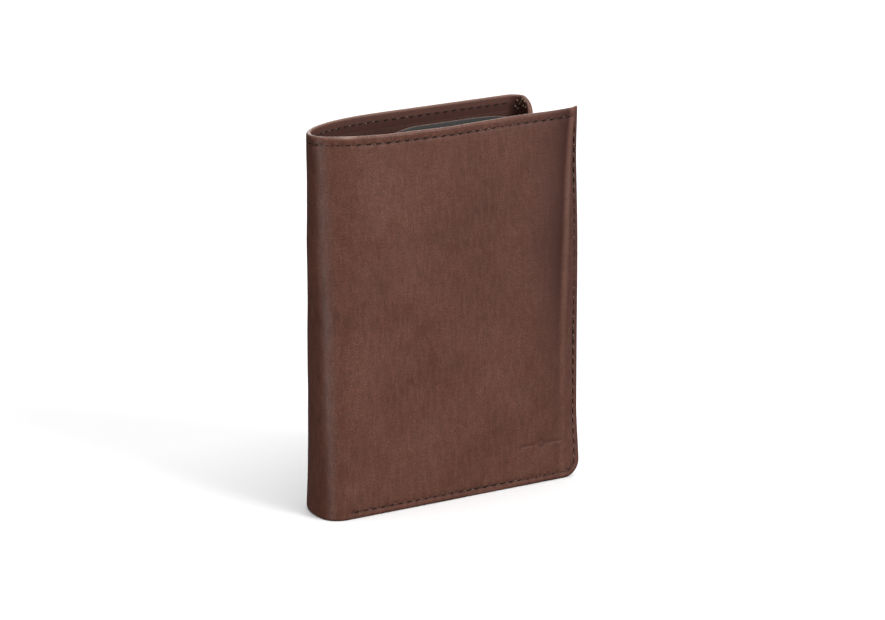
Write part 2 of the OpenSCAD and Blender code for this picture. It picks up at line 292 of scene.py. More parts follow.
def mesh_object(name, points, faces, uv, cut_points=None, marks=None):
    """Object from points and faces of four corners. A corner that repeats makes the face a triangle."""
    polygons = []
    for f in faces:
        ring = [int(v) for i, v in enumerate(f) if v != f[i - 1]]
        if len(set(ring)) >= 3:
            polygons.append(ring)
    used = np.unique(np.concatenate([np.array(p) for p in polygons]))
    new = np.full(len(points), -1)
    new[used] = np.arange(len(used))
    mesh = bpy.data.meshes.new(name)
    mesh.from_pydata(points[used].tolist(), [], [[int(new[v]) for v in p] for p in polygons])
    mesh.polygons.foreach_set("use_smooth", np.ones(len(mesh.polygons), bool))
    layer = mesh.uv_layers.new(name="UVMap")
    corner = np.zeros(len(mesh.loops), np.int32)
    mesh.loops.foreach_get("vertex_index", corner)
    layer.data.foreach_set("uv", uv[used][corner].astype(np.float32).ravel())
    if cut_points is not None and cut_points.any():
        edges = np.zeros(len(mesh.edges) * 2, np.int32)
        mesh.edges.foreach_get("vertices", edges)
        flag = cut_points[used][edges.reshape(-1, 2)].all(1)
        sharp = mesh.attributes.new("sharp_edge", "BOOLEAN", "EDGE")
        sharp.data.foreach_set("value", flag)
    for key, value in (marks or {}).items():
        mark = mesh.attributes.new(key, "FLOAT", "POINT")
        mark.data.foreach_set("value", value[used].astype(np.float32))
    mesh.validate()
    obj = bpy.data.objects.new(name, mesh)
    bpy.context.scene.collection.objects.link(obj)
    return obj


def edge_profile(distance, thickness):
    """How far the outer and the inner face lie below the outer surface, near a rounded edge."""
    r = thickness / 2
    d = np.clip(distance, 0, r)
    rise = np.sqrt(np.maximum(r * r - (r - d) ** 2, 0))
    return r - rise, r + rise


# ---------- seams ----------

class Seam:
    """A row of stitches along a line in arc length and height."""

    def __init__(self, points):
        self.points = np.array(points, float)
        steps = np.hypot(*np.diff(self.points, axis=0).T)
        self.lengths = np.r_[0, np.cumsum(steps)]

    def at(self, t):
        return on_path(t, self.lengths, self.points)

    def near(self, s, z):
        """Distance of points to the seam, and where along it they are."""
        best = np.full(s.shape, 1e9)
        along = np.zeros(s.shape)
        for i in range(len(self.points) - 1):
            a, b = self.points[i], self.points[i + 1]
            d = b - a
            length = np.hypot(*d)
            t = np.clip(((s - a[0]) * d[0] + (z - a[1]) * d[1]) / length ** 2, 0, 1)
            dist = np.hypot(s - a[0] - t * d[0], z - a[1] - t * d[1])
            closer = dist < best
            best = np.where(closer, dist, best)
            along = np.where(closer, self.lengths[i] + t * length, along)
        return best, along


def corner_arc(centre, r, a0, a1, n=7):
    angles = np.radians(np.linspace(a0, a1, n))
    return [(centre[0] + r * math.cos(a), centre[1] + r * math.sin(a)) for a in angles]


def front_length():
    """Arc length on the front at which the bottom seam starts, near the spine."""
    return X_FORE - (X_SPINE + SEAM_SPINE_GAP)


FRONT_SEAM = Seam(
    [(front_length(), SEAM_BOTTOM), (CORNER_R, SEAM_BOTTOM)]
    + corner_arc((CORNER_R, CORNER_R), CORNER_R - SEAM_BOTTOM, 270, 180)[1:]
    + [(SEAM_EDGE, SEAM_TOP - 0.8)]
)


# ---------- leather surface ----------

def undulation(s, z):
    """Gentle unevenness of hand-sized leather, a few tenths of a millimetre."""
    a = np.sin(s * 0.11 + 0.7) * np.sin(z * 0.083 + 1.9)
    b = np.sin(s * 0.19 - z * 0.12 + 4.1) + 0.7 * np.sin(s * 0.07 + z * 0.21 + 0.4)
    c = np.sin(s * 0.37 + z * 0.29 + 2.2) * np.sin(z * 0.17 - s * 0.11)
    return 0.16 * a + 0.07 * b + 0.035 * c


def bend_line(z):
    """How far from the fore edge the leather starts to bend over the edges of what lies under it."""
    return 7.4 - 4.3 * np.clip((z / HEIGHT - 0.2) / 0.8, 0, 1) ** 2.5


def curl(s, z):
    """The free edge of the front cover bends back, and its top corner more widely."""
    t = np.clip(z / HEIGHT, 0, 1)
    corner = 1.5 * ease((t - 0.6) / 0.4) * np.clip(1 - s / 16, 0, 1) ** 2
    strip = mix(1.7, 1.0, ease((t - 0.85) / 0.15)) * ease(t / 0.2)
    return corner + strip * np.clip(1 - s / bend_line(z), 0, 1) ** 1.25


def ridge(s, z):
    """The bend shows as a slight raised ridge; the same profile places a painted highlight along it."""
    fade = mix(0.35, 1.0, ease((z - 30) / 45)) * ease((HEIGHT - 3.0 - z) / 4)
    return fade * np.exp(-((s - bend_line(z)) / 0.75) ** 2)


RIM_HIGHLIGHT_AT = 90.0
CREASE_AT = (83.0, HEIGHT - 5.6)
ORNAMENT_AT = (16.0, 13.5)
ORNAMENT_DEPTH = 0.22


def rim_painted_highlight(s, z):
    """A painted highlight on a short length of the rim where the cover starts to bend towards the spine."""
    return np.exp(-((s - RIM_HIGHLIGHT_AT) / 2.4) ** 2) * np.exp(-((z - HEIGHT + 0.35) / 0.4) ** 2)


def crease(s, z):
    """A short slanting crease under the rim near the spine."""
    x, y = s - CREASE_AT[0], z - CREASE_AT[1]
    across = x * 0.62 + y * 0.78
    along = x * 0.78 - y * 0.62
    return 0.22 * np.exp(-(across / 0.55) ** 2) * np.exp(-(along / 2.6) ** 2)


def ornament(s, z):
    """Plain debossed ornament low on the front cover: a diamond between two bars."""
    x, y = s - ORNAMENT_AT[0], z - ORNAMENT_AT[1]
    diamond = np.abs(x) / 1.5 + np.abs(y) / 1.5 - 1
    ring = np.exp(-(diamond / 0.28) ** 2)
    bar = (1 / (1 + np.exp((np.abs(np.abs(x) - 5.6) - 3.1) * 8))) * np.exp(-(y / 0.32) ** 2)
    return ORNAMENT_DEPTH * np.clip(ring + bar, 0, 1)


def between(i, j, after=0.0, before=0.0):
    """Span from cut i to cut j, shortened at either end."""
    return lambda cuts: (cuts[i] + after, cuts[j] - before)


def flap_share(x, y):
    """How far round the fold a point has turned from the back's height to the flap's, from 0 to 1."""
    return np.where(x > X_FOLD - 1.5, np.clip((Y_BACK - 4.0 - y) / 7.6, 0, 1) ** 1.9, 0.0)


class Layer:
    """Grid of one piece of a layer: arc lengths, heights, points and normals. span gives the arc lengths
    of its two ends from those of the cuts."""

    def __init__(self, outline, span, step, round_start=False, round_end=False, z_foot=0.0, z_top=None,
                 corner=0.0):
        z_top = HEIGHT if z_top is None else z_top
        height = z_top - z_foot
        shares = spaced(height, step) / height
        heights = z_foot + shares * height
        surface = Surface(outline, heights)
        ends = [span(surface.cuts(k)) for k in range(len(heights))]
        mean = np.mean([b - a for a, b in ends])
        columns = spaced(mean, step, round_start, round_end) / mean
        nu, nv = len(columns), len(heights)
        self.s = np.zeros((nu, nv))
        self.z = np.tile(heights, (nu, 1))
        self.xy = np.zeros((nu, nv, 2))
        self.n = np.zeros((nu, nv, 2))
        for k, (a, b) in enumerate(ends):
            s = a + columns * (b - a)
            self.s[:, k] = s
            self.xy[:, k], self.n[:, k] = surface.at(k, s)
        self.start = np.array([e[0] for e in ends])
        self.end = np.array([e[1] for e in ends])
        self.z_foot, self.z_top = z_foot, z_top
        self.round_start, self.round_end = round_start, round_end
        self.shares = np.tile(shares, (nu, 1))
        low, high = np.full(nu, z_foot), np.full(nu, z_top)
        if corner and round_start:
            # Rounded lower corner at the fore edge
            from_edge = np.clip(corner - (self.s[:, 0] - self.start[0]), 0, corner)
            low = low + corner - np.sqrt(corner ** 2 - from_edge ** 2)
        self.set_heights(low, high)
        self.corner = corner if round_start else 0.0

    def set_heights(self, low, high):
        self.low, self.high = low, high
        self.z = low[:, None] + self.shares * (high - low)[:, None]

    def slope_to_flap(self, foot, top):
        """Heights turn from the back's to the flap's in a rounded corner on the fold."""
        mid = self.z.shape[1] // 2
        turn = np.maximum.accumulate(flap_share(self.xy[:, mid, 0], self.xy[:, mid, 1]))
        self.set_heights(mix(self.z_foot, foot, turn), mix(self.z_top, top, turn))

    def distance(self):
        """Distance to the nearest rounded edge."""
        low, high = self.low[:, None], self.high[:, None]
        d = np.minimum(self.z - low, high - self.z)
        from_start = self.s - self.start[None, :]
        if self.round_start:
            d = np.minimum(d, from_start)
        if self.round_end:
            d = np.minimum(d, self.end[None, :] - self.s)
        if self.corner:
            r = self.corner
            a, b = r - from_start, r - (self.z - self.z_foot)
            inside = (a > 0) & (b > 0)
            d = np.where(inside, np.minimum(d, r - np.hypot(a, b)), d)
        return np.maximum(d, 0)

    def points(self, depth, push=None):
        """Points that lie depth below the outer surface. push moves them along +Y."""
        p = self.xy - self.n * np.broadcast_to(depth, self.s.shape)[..., None]
        y = p[..., 1] if push is None else p[..., 1] + push
        return np.stack([p[..., 0], y, self.z], -1)

    def uv(self, offset=0.0):
        """Arc length and height in units of 100 mm."""
        return np.stack([self.s / 100 + offset, self.z / 100], -1)


def make_sheet(name, layer, depth, thickness, body_or_blend, slot, sink=None, push=None,
               turned=None, uv_offset=0.0, seams=None, painted_highlight=None, dye_and_shade=None, crease_inside=None):
    """A closed piece of a layer: its outer face is depth below the shell's outer surface."""
    d = layer.distance()
    full = thickness
    if turned is not None:
        full = mix(turned, thickness, ease((d - TURN_WIDTH) / 0.5))
    near, far = edge_profile(d, full)
    r = full / 2
    outer_depth = depth + np.where(d < r, near, 0)
    inner_depth = depth + np.where(d < r, far, full)
    if sink is not None:
        outer_depth = outer_depth + sink(layer.s, layer.z) * ease(d)
    if crease_inside is not None:
        inner_depth = inner_depth - crease_inside(layer.s, layer.z) * ease(d)
    outer = layer.points(outer_depth, push)
    inner = layer.points(inner_depth, push)
    rounded = (layer.round_start, layer.round_end, True, True)
    dark = np.zeros_like(d) if seams is None else seams(layer.s, layer.z)
    # Lighter rounded edges where the leather is worn, with painted highlights added by the caller.
    rubbed_and_highlight = 0.3 * np.exp(-(d / 0.25) ** 2)
    if painted_highlight is not None:
        rubbed_and_highlight = rubbed_and_highlight + painted_highlight(layer.s, layer.z)
    tone = np.zeros_like(d) if dye_and_shade is None else dye_and_shade(layer.s, layer.z)
    # Painted shade on the inner face: the turned edge inside the wallet is painted darker, and darker still
    # where the lining covers it.
    under = np.zeros_like(d)
    if turned is not None:
        under = ease(d / 0.6) * mix(INSIDE_SHADE, 1.0, ease((d - 2.0) / 1.6))
    # A light line along the inner edge of a turned rim: partly edge paint, partly a painted highlight.
    line = (0.75 if turned is not None else 0.2) * np.exp(-((d - 0.2) / 0.22) ** 2)
    marks = {"dye_and_shade": (tone, under), "edge_wear_and_highlight": (rubbed_and_highlight, line), "seam": (dark, 0.5 * dark)}
    obj = closed_sheet(name, outer, inner, layer.uv(uv_offset), rounded, marks)
    attach(obj, body_or_blend)
    obj.data.materials.append(SLOT_MATERIALS[slot])
    return obj


# ---------- which bodies each piece is given -----------

def plan(x, y):
    return (x * MM, y * MM, 0.0)


COVER_BEND = ("front_cover", "spine", plan(X_SPINE + 9, Y_FRONT), plan(X_SPINE, Y_FRONT + 9))
SPINE_BEND = ("spine", "spine_bend", plan(X_SPINE, -2), plan(X_SPINE + 4.48, 8.82))
BACK_BEND = ("spine_bend", "back", plan(-41, 10.9), plan(-24, 17))
EDGE_BEND = ("back", "fold", plan(X_FOLD - FOLD_R, Y_BACK), plan(X_FOLD, Y_BACK - FOLD_R))
FLAP_BEND = ("fold", "flap", plan(X_FOLD, Y_FLAP + FOLD_R), plan(X_FOLD - FOLD_R, Y_FLAP))


def attach(obj, how):
    """With a body's name, the piece rides on that body. Given two bodies and a start and an end point, its
    transform is only baked in; the bodies and points are not used.
    """
    if isinstance(how, str):
        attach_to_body(obj, how)
    else:
        a, b, start, end = how
        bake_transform(obj)
        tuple(start)
        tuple(end)


# ---------- materials ----------

class Nodes:
    """Short names for building a node tree."""

    def __init__(self, name):
        self.material = bpy.data.materials.new(name)
        self.material.use_nodes = True
        self.tree = self.material.node_tree
        self.shader = self.tree.nodes["Principled BSDF"]
        self.uv = self.add("ShaderNodeUVMap", uv_map="UVMap").outputs[0]

    def add(self, kind, inputs=None, **settings):
        node = self.tree.nodes.new(kind)
        for key, value in settings.items():
            setattr(node, key, value)
        for key, value in (inputs or {}).items():
            self.put(node.inputs[key], value)
        return node

    def put(self, socket, value):
        if isinstance(value, bpy.types.NodeSocket):
            self.tree.links.new(value, socket)
        else:
            socket.default_value = value

    def set(self, **inputs):
        for key, value in inputs.items():
            self.put(self.shader.inputs[key.replace("_", " ")], value)

    def noise(self, scale, detail=3.0, roughness=0.55, distortion=0.0, vector=None):
        return self.add("ShaderNodeTexNoise", {"Vector": vector or self.uv, "Scale": scale, "Detail": detail,
                                               "Roughness": roughness, "Distortion": distortion}).outputs[0]

    def cells(self, scale, feature="F1"):
        inputs = {"Vector": self.uv, "Scale": scale}
        return self.add("ShaderNodeTexVoronoi", inputs, feature=feature).outputs[0]

    def span(self, value, low, high, to_low=0.0, to_high=1.0):
        return self.add("ShaderNodeMapRange", {"Value": value, "From Min": low, "From Max": high,
                                               "To Min": to_low, "To Max": to_high}).outputs[0]

    def math(self, operation, a, b=0.0):
        return self.add("ShaderNodeMath", {0: a, 1: b}, operation=operation).outputs[0]

    def blend(self, share, a, b, mode="MIX"):
        node = self.add("ShaderNodeMix", data_type="RGBA", blend_type=mode)
        for key, value in ((0, share), (6, a), (7, b)):
            self.put(node.inputs[key], value)
        return node.outputs[2]

    def mark(self, name):
        return self.add("ShaderNodeAttribute", attribute_name=name).outputs["Fac"]

    def bump(self, height, distance, strength=1.0, normal=None):
        inputs = {"Height": height, "Distance": distance, "Strength": strength}
        if normal is not None:
            inputs["Normal"] = normal
        return self.add("ShaderNodeBump", inputs).outputs[0]


def rgb(r, g, b):
    return (r, g, b, 1.0)


def leather_material(name, base, dark, red, roughness, level):
    """Smooth full-grain hide: clouded dye, fine pores and hair-line wrinkles, worn edges, and painted
    highlights and painted shade from its marks.
    """
    n = Nodes(name)
    streak_at = n.add("ShaderNodeMapping", {0: n.uv, "Scale": (70.0, 16.0, 1.0)}).outputs[0]
    clouds = n.span(n.noise(3.4, 5.0, 0.6, 0.5), 0.36, 0.66)
    blotch = n.span(n.noise(12.0, 4.0, 0.62, 0.3), 0.38, 0.66)
    mottle = n.span(n.noise(48.0, 3.0, 0.65, 0.2), 0.34, 0.66)
    streaks = n.span(n.noise(1.0, 3.0, 0.6, 0.6, streak_at), 0.40, 0.66)
    speckle = n.span(n.noise(170.0, 3.0, 0.7), 0.36, 0.66)
    colour = n.blend(n.math("MULTIPLY", clouds, 0.72), base, dark)
    colour = n.blend(n.math("MULTIPLY", blotch, 0.42), colour, red)
    colour = n.blend(n.math("MULTIPLY", mottle, 0.42), colour, dark)
    colour = n.blend(n.math("MULTIPLY", streaks, 0.38), colour, light_of(base))
    colour = n.blend(n.math("MULTIPLY", speckle, 0.80), colour, dark)
    # Darker red: dye by the fore edge, and painted shade on the curled strip and on the inside of the turned
    # edges.
    colour = n.blend(n.mark("dye_and_shade"), colour, dark_of(red))
    # Lighter at worn edges and at painted highlights.
    colour = n.blend(n.math("MULTIPLY", n.mark("edge_wear_and_highlight"), 0.5), colour, rgb(0.24, 0.155, 0.115))
    colour = n.blend(n.math("MULTIPLY", n.mark("seam"), 0.8), colour, rgb(0.012, 0.006, 0.005))
    pores = n.span(n.cells(210.0), 0.0, 0.45)
    wrinkles = n.noise(95.0, 5.0, 0.62, 1.1)
    soft = n.noise(22.0, 3.0, 0.5, 0.5)
    height = n.math("ADD", n.math("MULTIPLY", pores, 0.40), n.math("MULTIPLY", wrinkles, 0.75))
    normal = n.bump(height, 0.00010, 0.5)
    normal = n.bump(soft, 0.0006, 0.16, normal)
    uneven = n.span(n.noise(14.0, 4.0, 0.6), 0.3, 0.7, roughness - 0.05, roughness + 0.09)
    dull = n.math("ADD", n.math("MULTIPLY", speckle, 0.06), n.math("MULTIPLY", n.mark("dye_and_shade"), 0.30))
    rough = n.math("ADD", uneven, dull)
    n.set(Base_Color=colour, Roughness=rough, Normal=normal, Specular_IOR_Level=level)
    return n.material


def dark_of(colour):
    return rgb(colour[0] * 0.30, colour[1] * 0.24, colour[2] * 0.24)


def light_of(colour):
    return rgb(colour[0] * 1.35, colour[1] * 1.42, colour[2] * 1.5)


def woven_material(name, base, dark):
    """Plain weave of fine yarn."""
    n = Nodes(name)
    yarns = {"Vector": n.uv, "Scale": 62.0, "Distortion": 0.35, "Detail Scale": 3.0}
    warp, weft = [n.add("ShaderNodeTexWave", yarns, wave_type="BANDS", bands_direction=way).outputs[1]
                  for way in ("X", "Y")]
    yarn = n.math("MAXIMUM", n.math("MULTIPLY", warp, 0.9), weft)
    fuzz = n.noise(240.0, 2.0, 0.6)
    colour = n.blend(yarn, dark, base)
    colour = n.blend(n.span(n.noise(7.0, 3.0), 0.35, 0.7, 0.0, 0.35), colour, dark)
    height = n.math("ADD", yarn, n.math("MULTIPLY", fuzz, 0.4))
    n.set(Base_Color=colour, Roughness=n.span(fuzz, 0.3, 0.7, 0.72, 0.9), Normal=n.bump(height, 0.00012, 0.7),
          Sheen_Weight=0.15, Sheen_Roughness=0.5)
    return n.material


def thread_material(name, base, light):
    """Waxed thread, its plies twisted."""
    n = Nodes(name)
    ply = n.add("ShaderNodeTexWave", {"Vector": n.uv, "Scale": 5.0, "Distortion": 0.4},
                wave_type="BANDS", bands_direction="DIAGONAL").outputs[1]
    colour = n.blend(n.math("MULTIPLY", ply, 0.5), base, light)
    colour = n.blend(n.span(n.noise(9.0, 3.0), 0.4, 0.7, 0.0, 0.5), colour, base)
    n.set(Base_Color=colour, Roughness=n.span(ply, 0.0, 1.0, 0.7, 0.85), Normal=n.bump(ply, 0.00006, 0.6),
          Specular_IOR_Level=0.18)
    return n.material


def window_material():
    """Clear flexible film, faintly scuffed."""
    n = Nodes("clear_film")
    scuffs = n.span(n.noise(38.0, 5.0, 0.7, 2.5), 0.5, 0.75)
    n.set(Base_Color=n.blend(scuffs, rgb(0.92, 0.93, 0.94), rgb(0.80, 0.82, 0.84)),
          Roughness=n.span(scuffs, 0.0, 1.0, 0.06, 0.22), Transmission_Weight=0.85, IOR=1.45, Alpha=0.55,
          Normal=n.bump(n.noise(4.0, 2.0), 0.0006, 0.3))
    return n.material


OUTER = leather_material("outer_leather", rgb(0.172, 0.069, 0.047), rgb(0.069, 0.026, 0.017),
                         rgb(0.154, 0.051, 0.032), 0.42, 0.28)
INNER = leather_material("inner_leather", rgb(0.072, 0.026, 0.018), rgb(0.036, 0.013, 0.009),
                         rgb(0.072, 0.022, 0.014), 0.52, 0.20)
LINING_CLOTH = woven_material("lining_weave", rgb(0.034, 0.032, 0.029), rgb(0.009, 0.009, 0.009))
THREAD = thread_material("thread", rgb(0.008, 0.005, 0.004), rgb(0.034, 0.018, 0.012))
# Pale thread for the bar tack's thread ends, also used for the painted glints between stitches.
THREAD_END_AND_GLINT = thread_material("thread_end_and_glint", rgb(0.16, 0.11, 0.075), rgb(0.34, 0.27, 0.20))
FILM = window_material()
SLOT_MATERIALS = {"outer_leather": OUTER, "inner_leather": INNER, "lining": LINING_CLOTH}


# ---------- outer leather ----------

STEP = PITCH / 6


def top_seam(z):
    return np.abs(z - SEAM_TOP)


def needle_hole(along):
    """1 at each needle hole, 0 halfway between two."""
    return 0.5 + 0.5 * np.cos(TAU * along / PITCH)


def seam_pull(dist, along):
    """How far the leather is drawn in along a seam, most at the needle holes."""
    hole = needle_hole(along)
    return 0.07 * np.exp(-(dist / 0.8) ** 2) + 0.25 * hole ** 3 * np.exp(-(dist / 0.5) ** 2)


def seam_dark(dist, along):
    """Dirt and shade in a seam's groove and its needle holes."""
    groove = 0.12 * np.exp(-(dist / 0.45) ** 2)
    return np.clip(groove + 0.8 * needle_hole(along) ** 4 * np.exp(-(dist / 0.42) ** 2), 0, 1)


TOP_START = 1.2
FOLD_RUN = X_FOLD - FOLD_R - CUT_BACK - 0.5
FLAP_RUN = X_FOLD - FOLD_R - FLAP_TIP
FLAP_IN = 2.2
FLAP_SEAM = Seam([(-FLAP_RUN, FLAP_TOP - FLAP_IN), (-FLAP_IN, FLAP_TOP - FLAP_IN),
                  (-FLAP_IN, FLAP_FOOT + FLAP_IN), (-FLAP_RUN, FLAP_FOOT + FLAP_IN)])


def front_sink(s, z):
    dist, along = FRONT_SEAM.near(s, z)
    over = ease(s - TOP_START)
    rim = seam_pull(top_seam(z), s) * over
    low = seam_pull(dist, along)
    return rim + low + crease(s, z) + ornament(s, z) - 0.22 * ridge(s, z) - undulation(s, z)


def edge_dye_and_shade(s, z):
    """Darker red beside the bend near the fore edge, partly dye and partly painted shade, with painted shade
    on the curled strip between the bend and the edge; it fades across the cover and towards its foot.
    """
    start = bend_line(z) + 0.2
    rise = ease((s - start) / 1.9)
    beyond = np.clip(s - start - 2.2, 0, None)
    fall = 0.72 * np.exp(-beyond / 6.8) + 0.28 * np.exp(-beyond / 30)
    strip = 0.55 * ease((start - 1.0 - s) / 0.8)
    return (rise * fall + strip) * mix(0.38, 1.0, ease((z - 22) / 60))


def front_dark(s, z):
    dist, along = FRONT_SEAM.near(s, z)
    over = ease(s - TOP_START)
    mark = 0.35 * ornament(s, z) / ORNAMENT_DEPTH
    return np.clip(seam_dark(top_seam(z), s) * over + seam_dark(dist, along) + mark, 0, 1)


def rim_sink(s, z):
    return seam_pull(top_seam(z), s) - undulation(s, z)


def rim_dark(s, z):
    return seam_dark(top_seam(z), s)


# Painted highlights: along the bend's ridge and on a short length of the rim near the spine.
def front_painted_highlight(s, z):
    return 0.30 * ridge(s, z) + 1.9 * rim_painted_highlight(s, z)


def flap_sink(s, z):
    return -undulation(s, z)


FRONT_ENDS = dict(round_start=True, corner=CORNER_R)
FRONT_LOOK = dict(sink=front_sink, seams=front_dark, painted_highlight=front_painted_highlight, dye_and_shade=edge_dye_and_shade)
RIM_LOOK = dict(sink=rim_sink, seams=rim_dark)
HIDE = [
    ("front", between(0, 1), COVER_BEND, ["outer_front"], FRONT_ENDS, FRONT_LOOK),
    ("spine", between(1, 2), SPINE_BEND, ["outer_spine"], {}, RIM_LOOK),
    ("back", between(2, 3), BACK_BEND, ["outer_bend", "outer_back"], {}, RIM_LOOK),
    ("edge", between(3, 4), EDGE_BEND, ["outer_fold"], {}, RIM_LOOK),
    ("flap", between(4, 5), FLAP_BEND, ["outer_flap"], dict(round_end=True), dict(sink=flap_sink)),
]
for part, span, how, cad, ends, look in HIDE:
    layer = Layer(SHELL, span, STEP, **ends)
    if part in ("edge", "flap"):
        layer.slope_to_flap(FLAP_FOOT, FLAP_TOP)
    push = curl(layer.s, layer.z) if part == "front" else None
    make_sheet(f"leather_{part}", layer, 0.0, LEATHER, how, "outer_leather",
                               push=push, turned=TURNED, **look)
    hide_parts(*cad)


# ---------- stitches ----------

def stitch_mesh(name, stitches, depth, how, outline=None, push=None, inner=False, radius=0.25, length=STITCH,
                material=None):
    """All stitches of one seam as one object. Each stitch is arc length, height and angle along the seam.
    Arc lengths below zero count back from the outline's end."""
    outline = outline or SHELL
    rings, sides = 9, 8
    t = np.linspace(-1, 1, rings)
    around = np.arange(sides) * TAU / sides
    points, faces, uvs = [], [], []
    facing = -1.0 if inner else 1.0
    known = {}
    for s, z, angle in stitches:
        level = round(min(max(z, 0.0), HEIGHT), 2)
        if level not in known:
            known[level] = outline.row(level)
        p, run, _ = known[level]
        s = s if s >= 0 else run[-1] + s
        tangent = np.append(on_path(s + 0.5, run, p) - on_path(s - 0.5, run, p), 0)
        tangent /= np.linalg.norm(tangent)
        outward = np.array([-tangent[1], tangent[0], 0])
        normal = outward * facing
        lean = math.radians(angle - 7 * facing)
        axis = tangent * math.cos(lean) + np.array([0, 0, 1.0]) * math.sin(lean)
        cross = np.cross(axis, normal)
        centre = np.array([*on_path(s, run, p), z]) - outward * depth
        if push is not None:
            centre[1] += float(push(np.array(s), np.array(z)))
            slope = float(push(np.array(s + 0.4), np.array(z)) - push(np.array(s - 0.4), np.array(z))) / 0.8
            axis = axis + np.array([0, slope * math.cos(lean), 0])
            axis /= np.linalg.norm(axis)
        start = len(points)
        for tr in t:
            r = radius * max(0.18, (1 - tr ** 6)) ** 0.5
            mid = centre + axis * tr * length / 2 + normal * (0.10 - 0.42 * abs(tr) ** 3)
            for a in around:
                points.append(mid + normal * (r * math.cos(a)) + cross * (r * math.sin(a)))
                uvs.append((a / TAU, tr * 1.6 + s * 0.37))
        points += [centre + axis * -length / 2 - normal * 0.36, centre + axis * length / 2 - normal * 0.36]
        uvs += [(0, 0), (0, 1)]
        for i in range(rings - 1):
            for j in range(sides):
                a, b = start + i * sides + j, start + i * sides + (j + 1) % sides
                faces.append([a, b, b + sides, a + sides])
        low, high = start + rings * sides, start + rings * sides + 1
        last = start + (rings - 1) * sides
        for j in range(sides):
            a, b = j, (j + 1) % sides
            faces += [[low, start + b, start + a, low], [high, last + a, last + b, high]]
    obj = mesh_object(name, np.array(points) * MM, np.array(faces), np.array(uvs))
    attach(obj, how)
    obj.data.materials.append(material or THREAD)
    return obj


def in_row(z, a, b):
    """Stitches along a level seam, halfway between the needle holes, from arc length a to b."""
    k = np.arange(math.ceil(a / PITCH - 0.5), math.floor(b / PITCH - 0.5) + 1)
    return [(PITCH * (i + 0.5), z, 0.0) for i in k]


def on_seam(seam):
    """Stitches along a seam with corners."""
    t = np.arange(0.5, seam.lengths[-1] / PITCH - 0.2) * PITCH
    here, ahead = seam.at(t), seam.at(t + 0.3)
    angle = np.degrees(np.arctan2(ahead[:, 1] - here[:, 1], ahead[:, 0] - here[:, 0]))
    return [(s, z, a) for (s, z), a in zip(here, angle)]


def sewn(name, cad, *args, **kwargs):
    seam = stitch_mesh(name, *args, **kwargs)
    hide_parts(*cad)
    return seam


CUTS = SHELL.row(SEAM_TOP)[2]
RIM = [
    ("front", TOP_START + 0.6, CUTS[1], COVER_BEND, ["stitches_front_top"]),
    ("spine", CUTS[1], CUTS[2], SPINE_BEND, ["stitches_spine_top"]),
    ("back", CUTS[2], CUTS[3], BACK_BEND, ["stitches_bend_top", "stitches_back_top"]),
    ("edge", CUTS[3], CUTS[3] + FOLD_RUN + 4.0, EDGE_BEND, []),
]
for part, a, b, how, cad in RIM:
    bent = curl if part == "front" else None
    sewn(f"stitches_top_{part}_outside", cad, in_row(SEAM_TOP, a, b), THREAD_SUNK, how, push=bent)
    sewn(f"stitches_top_{part}_inside", [], in_row(SEAM_TOP, a, b), TURNED, how, push=bent, inner=True)
sewn("stitches_front_edge", ["stitches_front_side", "stitches_front_bottom"], on_seam(FRONT_SEAM),
     THREAD_SUNK, COVER_BEND, push=curl)

# The bar tack at the fold: arc length from where the rim's seam meets the fold, distance below the rim,
# and angle, for each of its stitches.
TACKS = [(10.6, 0.9, 30), (12.0, 0.8, 120), (10.2, 1.9, 70), (7.5, 1.9, 130), (9.0, 2.9, 40), (6.6, 3.9, 100),
         (8.0, 4.6, 20), (11.4, 2.8, 80), (12.8, 2.2, 60)]


def fold_tacks():
    """The bar tack's stitches as arc length, height and angle."""
    path, run, cuts = SHELL.row(SEAM_TOP)
    out = []
    for s, below, angle in TACKS:
        s += cuts[3] + FOLD_RUN
        turn = flap_share(*on_path(s, run, path))
        out.append((s, HEIGHT - FLAP_STEP * float(turn) - below, angle))
    return out


sewn("stitches_fold_tack", [], fold_tacks(), TURNED, EDGE_BEND, inner=True, radius=0.28, length=1.1,
     material=THREAD_END_AND_GLINT)


def glint_loops(stitches, share, seed):
    """Short loops of pale thread between some of the stitches, each a little out of line: painted glints
    between the stitches.
    """
    chance = np.random.RandomState(seed)
    loops = []
    for (s0, z0, angle), (s1, z1, _) in zip(stitches, stitches[1:]):
        keep, off, turn, slide = chance.rand(4)
        if keep < share:
            t = 0.38 + 0.24 * slide
            loops.append((mix(s0, s1, t), mix(z0, z1, t) + 0.3 * (off - 0.5), angle + 70 * (turn - 0.5)))
    return loops


FRONT_STITCHES = on_seam(FRONT_SEAM)
AT_FOOT = 24  # of the front's stitches, those along its bottom
FRONT_RIM = in_row(SEAM_TOP, RIM[0][1], RIM[0][2])
BACK_RIM = in_row(SEAM_TOP, RIM[2][1], RIM[2][2])
COVER_LOOPS = dict(depth=LOOP_SUNK, how=COVER_BEND, push=curl)
BACK_LOOPS = dict(depth=TURNED, how=BACK_BEND, inner=True)
